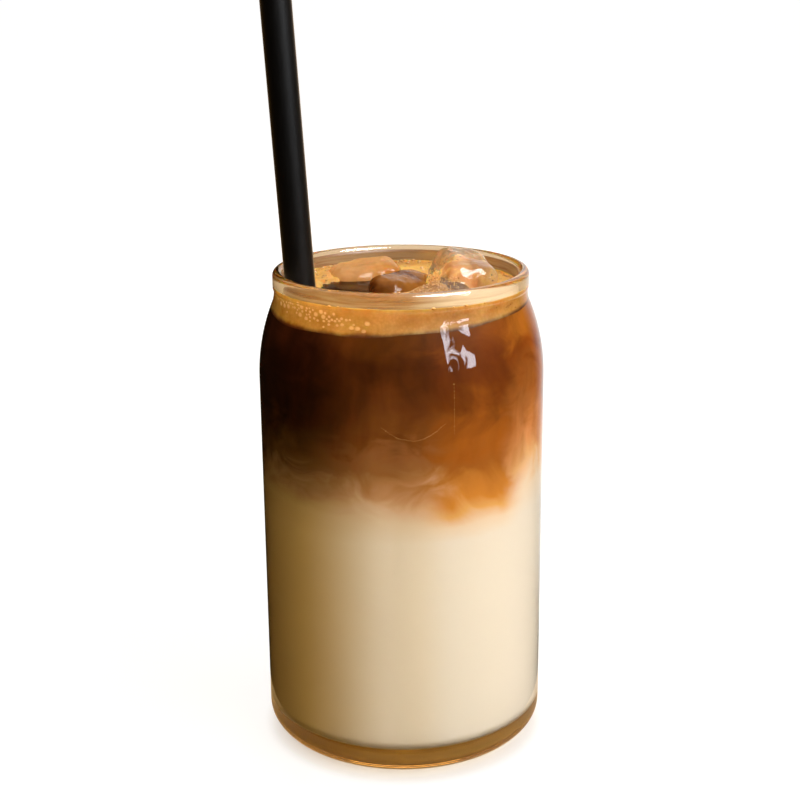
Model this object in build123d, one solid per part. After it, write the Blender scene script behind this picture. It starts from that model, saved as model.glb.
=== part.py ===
from build123d import *
import math
import os

# Iced coffee in a can-shaped glass, in millimetres. The glass stands on z = 0 with the Z axis
# as its own axis. The straw leans to -X, and -Y is the front.

# ------------------------------------------------------------------ sizes of the glass
glass_height = 130.0
body_diameter = 76.0
wall = 2.4
base_thickness = 7.8
floor_corner = 3.2  # round between the cavity's floor and its wall
heel_inset = 9.2  # how far the heel curves in to the foot
heel_height = 7.1
foot_ring_width = 3.6  # the flat ring that the glass rests on
foot_hollow = 1.2  # depth of the shallow hollow inside that ring
shoulder_drop = 4.5  # how far the shoulder comes in to the neck
shoulder_height = 22.75
cove_radius = 8.0  # the small reverse curve where shoulder meets neck
neck_height = 5.8  # from the top of the shoulder to the rim
bead_height = 4.8  # the rim's rounded bead
bead_stand_out = 0.25  # how far the bead stands proud of the neck

# ------------------------------------------------------------------ sizes of the drink
crema_below_rim = 4.5
crema_depth = 5.3
crema_side_slope = 0.038  # its underside hangs lower on the straw's side
crema_front_slope = 0.035  # and lower at the front than at the back
crema_ripple = 0.35
milk_depth = 70.7
milk_side_slope = -0.07  # the milk stands higher on the straw's side
milk_ripple = 1.3
ripple_length = 30.0  # from crest to crest
surface_spans = 9  # spans of the grid that a rippled surface is drawn through
well_length = 28.0  # the oval well in the crema, where dark coffee shows
well_width = 21.0
well_reach = 11.4  # its distance from the glass's axis
well_azimuth = 195.0
well_turn = 90.0
well_depth = 0.9  # from the crema's top to the coffee in the well

# ------------------------------------------------------------------ sizes of the straw
straw_length = 210.0
straw_diameter = 8.0
straw_wall = 0.4
straw_foot_reach = 19.9  # distance of its foot from the glass's axis
straw_foot_azimuth = 193.7
straw_rim_azimuth = 192.5
straw_rim_gap = 0.2
straw_floor_gap = 0.2

# ------------------------------------------------------------------ sizes of the ice
ice_taper = 4.0  # degrees, from the tray that the cubes were frozen in
ice_melt = 4.0  # radius that the edges and corners have melted to
ice_gap = 0.3  # left between one lump and the next, round the straw and off the wall
# Every lobe of a lump: its size, its side's distance from the neck's wall, the direction
# it lies in, how far its middle is under the crema's top, and its turns about X, Y and Z.
ice_lobes = {
    "ice_right": [
        {"size": (17.0, 20.0, 22.0), "off_wall": 7.2, "azimuth": 7.0, "sunk": 3.4, "turns": (14, 12, 22)},
        {"size": (19.0, 14.0, 12.0), "off_wall": 8.3, "azimuth": 314.0, "sunk": 4.9, "turns": (8, -12, 34)},
    ],
    "ice_back": [
        {"size": (22.0, 16.0, 20.0), "off_wall": 1.6, "azimuth": 121.0, "sunk": 7.0, "turns": (6, -3, 10)},
    ],
    "ice_middle": [
        {"size": (14.0, 25.0, 22.0), "off_wall": 22.4, "azimuth": 118.0, "sunk": 8.6, "turns": (-3, 9, -32)},
    ],
}

# ------------------------------------------------------------------ worked out from the sizes
body_radius = body_diameter / 2
neck_radius = body_radius - shoulder_drop
bead_radius = neck_radius + bead_stand_out
lip_radius = neck_radius - wall
lip_round = (bead_radius - lip_radius) / 2
foot_radius = body_radius - heel_inset
hollow_radius = foot_radius - foot_ring_width
shoulder_top = glass_height - neck_height
shoulder_start = shoulder_top - shoulder_height
shoulder_turn = 2 * math.degrees(math.atan(shoulder_drop / shoulder_height))
shoulder_radius = shoulder_height / math.sin(math.radians(shoulder_turn)) - cove_radius
crema_top = glass_height - crema_below_rim
crema_bottom = crema_top - crema_depth
milk_top = base_thickness + milk_depth
straw_radius = straw_diameter / 2


def polar(reach, azimuth, height):
    """A point given by its distance from the glass's axis, its direction and its height."""
    angle = math.radians(azimuth)
    return Vector(reach * math.cos(angle), reach * math.sin(angle), height)


def revolve_outline(edges):
    """A closed outline in the XZ plane, turned once round the glass's axis."""
    return revolve(Plane.XZ * make_face(Wire(edges)), Axis.Z)


# ------------------------------------------------------------------ glass
def side_curve(inset):
    """The S from the straight body up to the neck, seen in section and moved in by inset."""
    start = (body_radius - inset, shoulder_start)
    shoulder = JernArc(start, (0, 1), shoulder_radius - inset, shoulder_turn)
    cove = JernArc(shoulder @ 1, shoulder % 1, cove_radius + inset, -shoulder_turn)
    return [shoulder, cove]


def outer_side():
    """From the foot's edge up the heel, body, shoulder and neck, and round the bead to the lip."""
    heel_centre = (foot_radius, heel_height)
    heel = EllipticalCenterArc(heel_centre, heel_inset, heel_height, start_angle=270, arc_size=90)
    curve = side_curve(0)
    neck = Line(curve[1] @ 1, (neck_radius, glass_height - bead_height))
    step = JernArc(neck @ 1, (1, 0), bead_stand_out, 90)
    bead = Line(step @ 1, (bead_radius, glass_height - lip_round))
    lip = JernArc(bead @ 1, (0, 1), lip_round, 180)
    return [heel, Line(heel @ 1, curve[0] @ 0), *curve, neck, step, bead, lip]


def inner_side(gap, top):
    """From the middle of the floor up to the height top, kept gap off the floor and wall."""
    radius = body_radius - wall - gap
    floor = base_thickness + gap
    corner = JernArc((radius - floor_corner + gap, floor), (1, 0), floor_corner - gap, 90)
    curve = side_curve(wall + gap)
    neck = Line(curve[1] @ 1, (lip_radius - gap, top))
    return [Line((0, floor), corner @ 0), corner, Line(corner @ 1, curve[0] @ 0), *curve, neck]


def under_foot():
    """The shallow dome inside the foot's ring, from the axis out to the ring."""
    radius = (hollow_radius**2 + foot_hollow**2) / (2 * foot_hollow)
    turn = math.degrees(math.asin(hollow_radius / radius))
    return JernArc((0, foot_hollow), (1, 0), radius, -turn)


def glass_solid():
    """The tumbler: hollowed foot, curved heel, straight body, round shoulder, beaded rim."""
    outer = outer_side()
    inner = inner_side(0, glass_height - lip_round)
    hollow = under_foot()
    middle = Line((0, base_thickness), hollow @ 0)
    ring = Line(hollow @ 1, outer[0] @ 0)
    return revolve_outline([*outer, *inner, middle, hollow, ring])


def cavity(gap, top):
    """What the glass holds, kept gap off its wall and floor, up to the height top."""
    side = inner_side(gap, top)
    lid = Line(side[-1] @ 1, (0, top))
    return revolve_outline([*side, lid, Line((0, top), side[0] @ 0)])


# ------------------------------------------------------------------ straw
def straw_line():
    """The straw's foot and its direction, leaning from the floor to the lip's inner edge."""
    lip_reach = lip_radius - straw_rim_gap - straw_radius
    foot = polar(straw_foot_reach, straw_foot_azimuth, base_thickness)
    lip = polar(lip_reach, straw_rim_azimuth, glass_height - lip_round)
    lean = (lip - foot).normalized()
    rise = straw_floor_gap + straw_radius * math.sin(math.acos(lean.Z))
    return foot + lean * (rise / lean.Z), lean


def straw_rod(radius):
    """A round rod as long as the straw, along the straw's line."""
    foot, lean = straw_line()
    rod = Cylinder(radius, straw_length, align=(Align.CENTER, Align.CENTER, Align.MIN))
    return Plane(origin=foot, z_dir=lean) * rod


# ------------------------------------------------------------------ ice
def melted_cube(size, grown):
    """An ice cube, a little wider at one end, with its edges and corners melted round."""
    width, depth, height = (length + 2 * grown for length in size)
    block = extrude(Rectangle(width, depth), height, taper=ice_taper)
    return fillet(block.edges(), ice_melt + grown).translate((0, 0, -height / 2))


def ice_lump(lobes, grown=0.0):
    """One lump: its lobes frozen together, with every surface moved out by grown."""
    lump = Part()
    for lobe in lobes:
        reach = lip_radius - lobe["off_wall"] - lobe["size"][0] / 2
        middle = polar(reach, lobe["azimuth"], crema_top - lobe["sunk"])
        turn_x, turn_y, turn_z = lobe["turns"]
        turn = Rot(Z=turn_z) * Rot(Y=turn_y) * Rot(X=turn_x)
        lump += Location(middle) * turn * melted_cube(lobe["size"], grown)
    return lump


def ice_lumps():
    """The lumps that break the drink's surface, each clear of the wall, straw and others."""
    room = cavity(ice_gap, 2 * glass_height) - straw_rod(straw_radius + ice_gap)
    lumps = {}
    for name, lobes in ice_lobes.items():
        lumps[name] = ice_lump(lobes) & room
        room -= ice_lump(lobes, ice_gap)
    return lumps


# ------------------------------------------------------------------ drink
def ripple(x, y, size):
    """The height of a low uneven wave."""
    wave = 2 * math.pi / ripple_length
    return size * math.sin(wave * x + 0.8) * math.cos(0.8 * wave * y - 0.5)


def crema_underside(x, y):
    slope = crema_side_slope * x + crema_front_slope * y
    return crema_bottom + slope + ripple(x, y, crema_ripple)


def milk_surface(x, y):
    return milk_top + milk_side_slope * x + ripple(x, y, milk_ripple)


def space_under(height):
    """All the space under a rippled surface, whose height is a function of x and y."""
    half = surface_spans / 2
    steps = [body_radius * 1.1 * (i / half - 1) for i in range(surface_spans + 1)]
    grid = [[(x, y, height(x, y)) for x in steps] for y in steps]
    surface = Face.make_surface_from_array_of_points(grid)
    return Solid.extrude(surface, Vector(0, 0, -2 * glass_height))


def well(top):
    """The oval well in the crema, from below the crema up to the height top."""
    bottom = polar(well_reach, well_azimuth, crema_bottom - crema_depth)
    oval = Plane(origin=bottom) * (Rot(Z=well_turn) * Ellipse(well_length / 2, well_width / 2))
    return extrude(oval, top - bottom.Z)


def drink_layers(immersed):
    """Milk, coffee and crema, filling the glass and cut round everything immersed in them."""
    drink = cavity(0, crema_top)
    for thing in immersed:
        drink -= thing
    under_crema = space_under(crema_underside)
    under_milk = space_under(milk_surface)
    foam = drink - under_crema
    coffee = (drink & under_crema) - under_milk
    return {
        "milk": drink & under_milk,
        "coffee": coffee + (foam & well(crema_top - well_depth)),
        "crema": foam - well(crema_top),
    }


def main():
    lumps = ice_lumps()
    rod = straw_rod(straw_radius)
    parts = {
        "glass": glass_solid(),
        "straw": rod - straw_rod(straw_radius - straw_wall),
        **lumps,
        **drink_layers([rod, *lumps.values()]),
    }
    os.makedirs("parts", exist_ok=True)
    for name, solid in parts.items():
        print(f"{name}: {len(solid.solids())} solid, {solid.volume / 1000:.2f} ml")
        export_step(solid, f"parts/{name}.step")


main()
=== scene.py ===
"""Iced coffee in a can-shaped glass: the looks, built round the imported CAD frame."""

import math
import random

import bmesh
import bpy
from mathutils import Matrix, Vector, noise
from mathutils.bvhtree import BVHTree


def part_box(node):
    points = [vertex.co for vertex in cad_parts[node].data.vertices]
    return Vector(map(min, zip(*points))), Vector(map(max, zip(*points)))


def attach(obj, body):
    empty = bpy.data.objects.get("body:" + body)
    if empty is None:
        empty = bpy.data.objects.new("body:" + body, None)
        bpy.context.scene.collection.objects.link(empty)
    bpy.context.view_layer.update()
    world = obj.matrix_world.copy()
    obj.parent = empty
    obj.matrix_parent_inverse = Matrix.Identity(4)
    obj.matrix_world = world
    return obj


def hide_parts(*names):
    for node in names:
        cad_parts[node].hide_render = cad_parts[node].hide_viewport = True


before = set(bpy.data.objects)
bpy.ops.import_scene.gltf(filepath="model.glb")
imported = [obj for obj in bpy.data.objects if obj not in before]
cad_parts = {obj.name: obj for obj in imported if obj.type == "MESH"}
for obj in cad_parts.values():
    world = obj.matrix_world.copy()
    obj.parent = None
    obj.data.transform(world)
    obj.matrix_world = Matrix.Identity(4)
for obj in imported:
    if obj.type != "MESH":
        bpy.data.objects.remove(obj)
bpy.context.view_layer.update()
MM = 0.001

bl_info = {
    "name": "Iced Coffee",
    "version": (1, 0, 0),
    "blender": (4, 5, 0),
    "location": "3D View > Sidebar > Iced Coffee",
    "description": "Builds a layered iced coffee with its glass, ice and straw round a CAD frame",
    "category": "Object",
}

GLASS_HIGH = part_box("glass")[1]

# How the layers lean, in millimetres for each millimetre across: the milk stands higher on the
# straw's side, and the crema's underside hangs lower there and at the front.
MILK_SIDE_SLOPE = -0.07
CREMA_SIDE_SLOPE = 0.038
CREMA_FRONT_SLOPE = 0.035
# Directions from the glass's axis, in degrees from +X towards +Y.
WELL_DIRECTION = 195.0
WELL_TURN = 90.0
STRAW_FOOT_DIRECTION = 193.7
STRAW_RIM_DIRECTION = 192.5
STRAW_FOOT_REACH = 19.9 * MM
STRAW_GAP = 0.2 * MM
MENISCUS = 0.35  # millimetres that the crema climbs at the wall

# Colours of the drink against the wall, by height in millimetres: where the milk starts to
# mix, the clouds, and the clear dark coffee. Each band of width has its own colours, which paint
# the light: painted shade on the straw's side and painted light glowing amber on the far side.
# Straw's side: painted shade, with the milk dim and warm and the coffee near black.
PAINTED_SHADE_COLOURS = (
    (66, "DAC48C"),
    (73, "D0B880"),
    (78, "AC8A5E"),
    (83, "6C4C26"),
    (88, "563814"),
    (93, "3E2209"),
    (99, "281003"),
    (108, "220B03"),
    (119, "34170A"),
)
MIDDLE_COLOURS = (
    (66, "EBE5DA"),
    (72, "E4D6C0"),
    (76, "D9B896"),
    (79, "C69A70"),
    (82, "B58556"),
    (86, "9C6C3E"),
    (90, "966236"),
    (94, "7B4A1E"),
    (99, "6C3D18"),
    (105, "5E3210"),
    (112, "4C2609"),
    (119, "57300C"),
)
# Towards the far side: painted light, glowing amber through the coffee.
PAINTED_GLOW_COLOURS = (
    (66, "ECEAE7"),
    (70, "ECDFCE"),
    (73, "E2B06C"),
    (76, "CE8C3E"),
    (82, "B47630"),
    (86, "A06226"),
    (92, "A15E1E"),
    (98, "8A4E18"),
    (105, "71390F"),
    (112, "6A340E"),
    (119, "7C4312"),
)
# Far side: painted light, with the milk and coffee paler where it falls.
PAINTED_LIT_COLOURS = (
    (68, "EDEBE9"),
    (76, "EFE4D6"),
    (81, "EDC899"),
    (86, "E0A872"),
    (91, "CE8E58"),
    (97, "B5763F"),
    (104, "A5642C"),
    (112, "874612"),
    (119, "A2621F"),
)


def linear(code):
    """An sRGB hex colour as the linear RGBA that Blender works in."""
    parts = [int(code[i : i + 2], 16) / 255 for i in (0, 2, 4)]
    return (*[p / 12.92 if p <= 0.04045 else ((p + 0.055) / 1.055) ** 2.4 for p in parts], 1.0)


def length(name, description, millimetres):
    """A length that a user may change, in Blender's own unit."""
    return bpy.props.FloatProperty(
        name=name, description=description, default=millimetres * MM, unit="LENGTH", precision=5
    )


def colour(name, description, code):
    """A colour that a user may change, given as sRGB hex."""
    return bpy.props.FloatVectorProperty(
        name=name, description=description, default=linear(code), subtype="COLOR", size=4
    )


# ------------------------------------------------------------------------------ settings
class GlassSizes(bpy.types.PropertyGroup):
    """Sizes of the tumbler."""

    height: length("Height", "From the foot to the rim", GLASS_HIGH.z / MM)
    body_radius: length("Body radius", "Half the body's width", GLASS_HIGH.x / MM)
    wall: length("Wall", "Thickness of the wall", 2.4)
    base_thickness: length("Base", "Thickness of the base at its middle", 7.8)
    floor_corner: length("Floor corner", "Round between floor and wall, inside", 3.2)
    heel_inset: length("Heel inset", "How far the heel curves in to the foot", 9.2)
    heel_height: length("Heel height", "Height of the heel's curve", 7.1)
    ring_width: length("Foot ring", "Width of the ring that the glass stands on", 3.6)
    hollow: length("Foot hollow", "Depth of the hollow inside the foot's ring", 1.2)
    shoulder_drop: length("Shoulder drop", "How far the shoulder comes in", 4.5)
    shoulder_height: length("Shoulder height", "From the straight body to the neck", 22.75)
    cove_radius: length("Cove", "Radius of the reverse curve under the neck", 8.0)
    neck_height: length("Neck", "From the top of the shoulder to the rim", 5.8)
    bead_height: length("Bead height", "Height of the rim's bead", 4.8)
    bead_stand_out: length("Bead stand-out", "How far the bead stands proud", 0.25)


class DrinkSizes(bpy.types.PropertyGroup):
    """Sizes of the drink's layers."""

    wall_reach: length("Wall reach", "How far the drink reaches into the wall", 0.12)
    crema_below_rim: length("Crema below rim", "From the rim down to the crema", 4.5)
    crema_depth: length("Crema depth", "Thickness of the crema at the axis", 5.3)
    crema_ripple: length("Crema ripple", "Height of the crema's underside waves", 0.35)
    milk_depth: length("Milk depth", "From the glass's floor to the milk's top", 70.7)
    milk_ripple: length("Milk ripple", "Height of the waves on the milk", 1.3)
    ripple_length: length("Ripple length", "From one wave to the next", 30.0)
    well_length: length("Well length", "Length of the opening in the crema", 28.0)
    well_width: length("Well width", "Width of the opening in the crema", 21.0)
    well_reach: length("Well reach", "Distance of the opening from the axis", 11.4)
    well_depth: length("Well depth", "From the crema's top to the coffee", 0.9)
    ice_pit: length("Ice pit", "How deep the ice presses the surface", 7.0)


class StrawSizes(bpy.types.PropertyGroup):
    """Sizes of the straw."""

    length: length("Length", "Length along the straw", 210.0)
    diameter: length("Diameter", "Across the straw, outside", 8.0)
    wall: length("Wall", "Thickness of the straw's wall", 0.4)


class DrinkColours(bpy.types.PropertyGroup):
    """Colours of the pieces."""

    crema: colour("Crema", "The crema's pale brown foam", "F8C26C")
    crema_deep: colour("Crema, deep", "Wetter foam between the bubbles", "CC8C3C")
    coffee: colour("Coffee", "Open coffee in the crema's well", "1A0A03")
    straw: colour("Straw", "Black polypropylene", "040302")
    # The film on the wall paints the dim surroundings seen through the glass.
    residue: colour("Surroundings film", "Film on the wall that paints the dim surroundings seen through the glass", "AE9672")


# ------------------------------------------------------------------------------ node and mesh helpers
def add_node(tree, kind, links=None, **settings):
    """Adds a node, sets its settings, and fills its sockets with values, outputs or other nodes.

    A node given as a value stands for its first output.
    """
    node = tree.nodes.new("ShaderNode" + kind)
    for name, value in settings.items():
        setattr(node, name, value)
    for socket, value in (links or {}).items():
        if isinstance(value, bpy.types.Node):
            value = value.outputs[0]
        if isinstance(value, bpy.types.NodeSocket):
            tree.links.new(value, node.inputs[socket])
        else:
            node.inputs[socket].default_value = value
    return node


def fill_ramp(node, stops, low, high):
    """Puts (value, sRGB hex) stops on a colour ramp that runs from low to high."""
    elements = node.color_ramp.elements
    while len(elements) < len(stops):
        elements.new(0.5)
    for element, (value, code) in zip(elements, stops):
        element.position = (value - low) / (high - low)
        element.color = linear(code)
    return node


def new_material(name):
    """An empty node material and its tree."""
    material = bpy.data.materials.new(name)
    material.use_nodes = True
    tree = material.node_tree
    tree.nodes.clear()
    return material, tree


def line_to(bm, tip, x, z, steps=1):
    """Draws a straight run in the XZ plane from the outline's tip, and returns the new tip."""
    start = tip.co.copy()
    end = Vector((x, 0, z))
    for step in range(steps):
        tip = bmesh.ops.extrude_vert_indiv(bm, verts=[tip])["verts"][0]
        tip.co = start.lerp(end, (step + 1) / steps)
    return tip


def arc_to(bm, tip, centre, turn, steps):
    """Draws an arc round centre, anticlockwise for a positive turn, and returns its end."""
    made = bmesh.ops.spin(
        bm, geom=[tip], cent=(centre[0], 0, centre[1]), axis=(0, -1, 0), angle=turn, steps=steps
    )
    return [v for v in made["geom_last"] if isinstance(v, bmesh.types.BMVert)][0]


def turn_round(bm, steps):
    """Turns the drawn outline once round the glass's axis and closes its seam and poles."""
    bmesh.ops.spin(
        bm,
        geom=bm.verts[:] + bm.edges[:],
        cent=(0, 0, 0),
        axis=(0, 0, 1),
        angle=math.tau,
        steps=steps,
        use_merge=True,
    )
    bmesh.ops.remove_doubles(bm, verts=bm.verts, dist=1e-7)
    bmesh.ops.recalc_face_normals(bm, faces=bm.faces)


def add_piece(name, bm, material, stands_for=(), crease=180):
    """Makes the mesh a piece of the object; edges sharper than crease degrees stay crisp."""
    mesh = bpy.data.meshes.new(name)
    bm.to_mesh(mesh)
    bm.free()
    mesh.shade_smooth()
    if crease < 180:
        mesh.set_sharp_from_angle(angle=math.radians(crease))
    mesh.materials.append(material)
    piece = bpy.data.objects.new(name, mesh)
    bpy.context.scene.collection.objects.link(piece)
    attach(piece, "root")
    if stands_for:
        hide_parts(*stands_for)
    return piece


def smooth(share):
    """An even step from 0 to 1."""
    share = min(max(share, 0.0), 1.0)
    return share * share * (3 - 2 * share)


def polar(reach, degrees, height):
    """A point given by its distance from the glass's axis, its direction and its height."""
    angle = math.radians(degrees)
    return Vector((reach * math.cos(angle), reach * math.sin(angle), height))


def let_lamps_in(tree, clear):
    """Lamps shine straight through the clear shader, so that what is behind it isn't left dark."""
    rays = add_node(tree, "LightPath").outputs["Is Shadow Ray"]
    open_way = add_node(tree, "BsdfTransparent")
    return add_node(tree, "MixShader", {0: rays, 1: clear, 2: open_way})


# ------------------------------------------------------------------------------ glass
class SideCurve:
    """The S between the straight body and the neck, moved in by inset."""

    def __init__(self, glass, inset):
        top = glass.height - glass.neck_height
        self.turn = 2 * math.atan(glass.shoulder_drop / glass.shoulder_height)
        radius = glass.shoulder_height / math.sin(self.turn) - glass.cove_radius
        neck = glass.body_radius - glass.shoulder_drop
        self.body = glass.body_radius - inset
        self.neck = neck - inset
        self.start = top - glass.shoulder_height
        self.top = top
        self.shoulder_centre = (glass.body_radius - radius, self.start)
        self.shoulder_radius = radius - inset
        self.cove_centre = (neck + glass.cove_radius, top)
        self.cove_radius = glass.cove_radius + inset

    def reach(self, height):
        """The curve's distance from the axis at a height above the straight body's foot."""
        if height <= self.start:
            return self.body
        if height >= self.top:
            return self.neck
        rise = height - self.start
        if rise < self.shoulder_radius * math.sin(self.turn):
            return self.shoulder_centre[0] + math.sqrt(self.shoulder_radius**2 - rise**2)
        drop = self.top - height
        return self.cove_centre[0] - math.sqrt(self.cove_radius**2 - drop**2)

    def draw_up(self, bm, tip, steps=14):
        """Draws the S upwards from the body."""
        tip = arc_to(bm, tip, self.shoulder_centre, self.turn, steps)
        return arc_to(bm, tip, self.cove_centre, -self.turn, steps // 2)

    def draw_down(self, bm, tip, steps=14):
        """Draws the S downwards from the neck."""
        tip = arc_to(bm, tip, self.cove_centre, self.turn, steps // 2)
        return arc_to(bm, tip, self.shoulder_centre, -self.turn, steps)


def glass_material():
    """Soda-lime glass, machine blown and fire polished: clear, with faint waves and a warm depth."""
    material, tree = new_material("Soda-lime glass, blown and fire polished")
    place = add_node(tree, "TexCoord").outputs["Object"]
    # Waves about 14 mm apart, left by the blowing, a few hundredths of a millimetre deep.
    waves = add_node(tree, "TexNoise", {"Vector": place, "Scale": 1 / 0.014, "Detail": 1.0})
    bump = add_node(tree, "Bump", {"Height": waves.outputs["Fac"], "Strength": 1.0, "Distance": 0.00004})
    clear = add_node(
        tree,
        "BsdfPrincipled",
        {
            "Base Color": linear("FFFDF8"),
            "Roughness": 0.0,
            "IOR": 1.5,
            "Transmission Weight": 1.0,
            "Normal": bump,
        },
    )
    mixed = let_lamps_in(tree, clear)
    # Warm light from the drink travels in the glass, most where it is thick.
    depth = add_node(tree, "VolumeAbsorption", {"Color": (0.87, 0.63, 0.10, 1), "Density": 35.0})
    add_node(tree, "OutputMaterial", {"Surface": mixed, "Volume": depth})
    return material


class COFFEE_OT_glass(bpy.types.Operator):
    """Blow the tumbler: hollowed foot, curved heel, straight body, round shoulder and beaded rim"""

    bl_idname = "coffee.glass"
    bl_label = "Glass"

    def execute(self, context):
        glass = context.scene.coffee_glass
        outer = SideCurve(glass, 0.0)
        inner = SideCurve(glass, glass.wall)
        foot = glass.body_radius - glass.heel_inset
        ring = foot - glass.ring_width
        dome = (ring**2 + glass.hollow**2) / (2 * glass.hollow)
        bead = outer.neck + glass.bead_stand_out
        lip = (bead - inner.neck) / 2
        bm = bmesh.new()
        tip = bm.verts.new((0, 0, glass.hollow))
        tip = arc_to(bm, tip, (0, glass.hollow - dome), -math.asin(ring / dome), 12)
        tip = line_to(bm, tip, foot, 0, 3)
        # The heel is a quarter ellipse: a round arc, then flattened.
        heel_centre = Vector((foot, 0, glass.heel_height))
        squash = glass.heel_height / glass.heel_inset
        tip = line_to(bm, tip, foot, glass.heel_height - glass.heel_inset)
        first = tip
        before = set(bm.verts)
        tip = arc_to(bm, tip, (foot, glass.heel_height), math.pi / 2, 20)
        arc = [v for v in bm.verts if v not in before] + [first]
        bmesh.ops.scale(bm, vec=(1, 1, squash), space=Matrix.Translation(-heel_centre), verts=arc)
        tip = line_to(bm, tip, outer.body, outer.start, 24)
        tip = outer.draw_up(bm, tip, 24)
        tip = line_to(bm, tip, outer.neck, glass.height - glass.bead_height, 2)
        step_centre = (outer.neck, glass.height - glass.bead_height + glass.bead_stand_out)
        tip = arc_to(bm, tip, step_centre, math.pi / 2, 4)
        tip = line_to(bm, tip, bead, glass.height - lip, 3)
        tip = arc_to(bm, tip, (bead - lip, glass.height - lip), math.pi, 16)
        tip = line_to(bm, tip, inner.neck, inner.top, 4)
        tip = inner.draw_down(bm, tip, 24)
        corner = glass.base_thickness + glass.floor_corner
        tip = line_to(bm, tip, inner.body, corner, 20)
        tip = arc_to(bm, tip, (inner.body - glass.floor_corner, corner), -math.pi / 2, 10)
        line_to(bm, tip, 0, glass.base_thickness, 12)
        bmesh.ops.remove_doubles(bm, verts=bm.verts, dist=1e-7)
        turn_round(bm, 192)
        add_piece("glass_tumbler", bm, glass_material(), ["glass"])
        return {"FINISHED"}


# ------------------------------------------------------------------------------ drink
def ripple(x, y, size, wave_length):
    """The height of a low uneven wave."""
    wave = math.tau / wave_length
    return size * math.sin(wave * x + 0.8) * math.cos(0.8 * wave * y - 0.5)


def milk_surface(drink, glass, x, y):
    """Height of the milk's top, higher on the straw's side."""
    level = glass.base_thickness + drink.milk_depth
    return level + MILK_SIDE_SLOPE * x + ripple(x, y, drink.milk_ripple, drink.ripple_length)


def crema_underside(drink, glass, x, y):
    """Height of the crema's underside."""
    level = glass.height - drink.crema_below_rim - drink.crema_depth
    slope = CREMA_SIDE_SLOPE * x + CREMA_FRONT_SLOPE * y
    return level + slope + ripple(x, y, drink.crema_ripple, drink.ripple_length)


def drink_colour(tree, place):
    """Milk rising in clouds into coffee: bands of colour by height, stirred by slow swirls, and painted
    light and shade across the width.
    """
    # Swirls about 26 mm across carry smaller curls about 8 mm across.
    slow = add_node(tree, "TexNoise", {"Vector": place, "Scale": 1 / 0.026, "Detail": 2.0})
    slow_push = add_node(
        tree, "VectorMath", {0: slow.outputs["Color"], 1: (0.5, 0.5, 0.5)}, operation="SUBTRACT"
    )
    slow_size = add_node(tree, "VectorMath", {0: slow_push, 1: (0.022, 0.022, 0.018)}, operation="MULTIPLY")
    swirled = add_node(tree, "VectorMath", {0: place, 1: slow_size}, operation="ADD")
    flat = add_node(tree, "Mapping", {"Vector": swirled, "Scale": (1.0, 1.0, 1.7)})
    curls = add_node(
        tree,
        "TexNoise",
        {"Vector": flat, "Scale": 1 / 0.013, "Detail": 5.0, "Roughness": 0.55, "Distortion": 0.6},
    )
    parts = add_node(tree, "SeparateXYZ", {0: place})
    height = add_node(tree, "Math", {0: parts.outputs["Z"], 1: 1000.0}, operation="MULTIPLY")
    side = add_node(tree, "Math", {0: parts.outputs["X"], 1: 1000.0}, operation="MULTIPLY")
    # The clouds reach about 9 mm up or down, and die out in the plain milk below.
    reach = add_node(
        tree,
        "MapRange",
        {"Value": height, "From Min": 70.0, "From Max": 84.0, "To Min": 2.0, "To Max": 22.0},
    )
    lift = add_node(tree, "Math", {0: curls.outputs["Fac"], 1: 0.5}, operation="SUBTRACT")
    lifted = add_node(tree, "Math", {0: lift, 1: reach, 2: height}, operation="MULTIPLY_ADD")
    share = add_node(tree, "MapRange", {"Value": lifted, "From Min": 60.0, "From Max": 125.0}).outputs[0]
    ramps = [
        fill_ramp(add_node(tree, "ValToRGB", {0: share}), stops, 60, 125).outputs[0]
        for stops in (PAINTED_SHADE_COLOURS, MIDDLE_COLOURS, PAINTED_GLOW_COLOURS, PAINTED_LIT_COLOURS)
    ]
    # From the straw's side to the far side the colours paint the light: painted shade, near black
    # in the coffee and dim in the milk, gives way to painted light glowing amber through the coffee.
    # The edges between the widths wander with the clouds, and run straight up in the milk.
    stir = add_node(tree, "Math", {0: lift, 1: reach}, operation="MULTIPLY")
    wander = add_node(tree, "Math", {0: stir, 1: 0.75, 2: side}, operation="MULTIPLY_ADD")
    mixed = ramps[0]
    for ramp, (low, high) in zip(ramps[1:], ((-27, -3), (3, 13), (24, 31))):
        blend = add_node(
            tree,
            "MapRange",
            {"Value": wander, "From Min": float(low), "From Max": float(high)},
            interpolation_type="SMOOTHSTEP",
        )
        mixed = add_node(tree, "Mix", {0: blend, 6: mixed, 7: ramp}, data_type="RGBA").outputs[2]
    # Faint streaks about 5 mm apart hang down in the coffee.
    tall = add_node(tree, "Mapping", {"Vector": swirled, "Scale": (1.0, 1.0, 0.22)})
    streaks = add_node(tree, "TexNoise", {"Vector": tall, "Scale": 1 / 0.006, "Detail": 3.0})
    depth = add_node(
        tree,
        "MapRange",
        {"Value": lifted, "From Min": 84.0, "From Max": 98.0, "To Min": 0.0, "To Max": 1.3},
    )
    strength = add_node(tree, "Math", {0: streaks.outputs["Fac"], 1: 0.5}, operation="SUBTRACT")
    tone = add_node(tree, "Math", {0: strength, 1: depth, 2: 1.0}, operation="MULTIPLY_ADD")
    return add_node(tree, "VectorMath", {0: mixed, "Scale": tone}, operation="SCALE").outputs[0]


def drink_material(name):
    """Milk and coffee against glass: matt, because the wall in front of them takes the shine."""
    material, tree = new_material(name)
    place = add_node(tree, "TexCoord").outputs["Object"]
    body = add_node(
        tree,
        "BsdfPrincipled",
        {
            "Base Color": drink_colour(tree, place),
            "Roughness": 0.4,
            "IOR": 1.34,
            "Specular IOR Level": 0.05,
        },
    )
    add_node(tree, "OutputMaterial", {"Surface": body})
    return material


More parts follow.
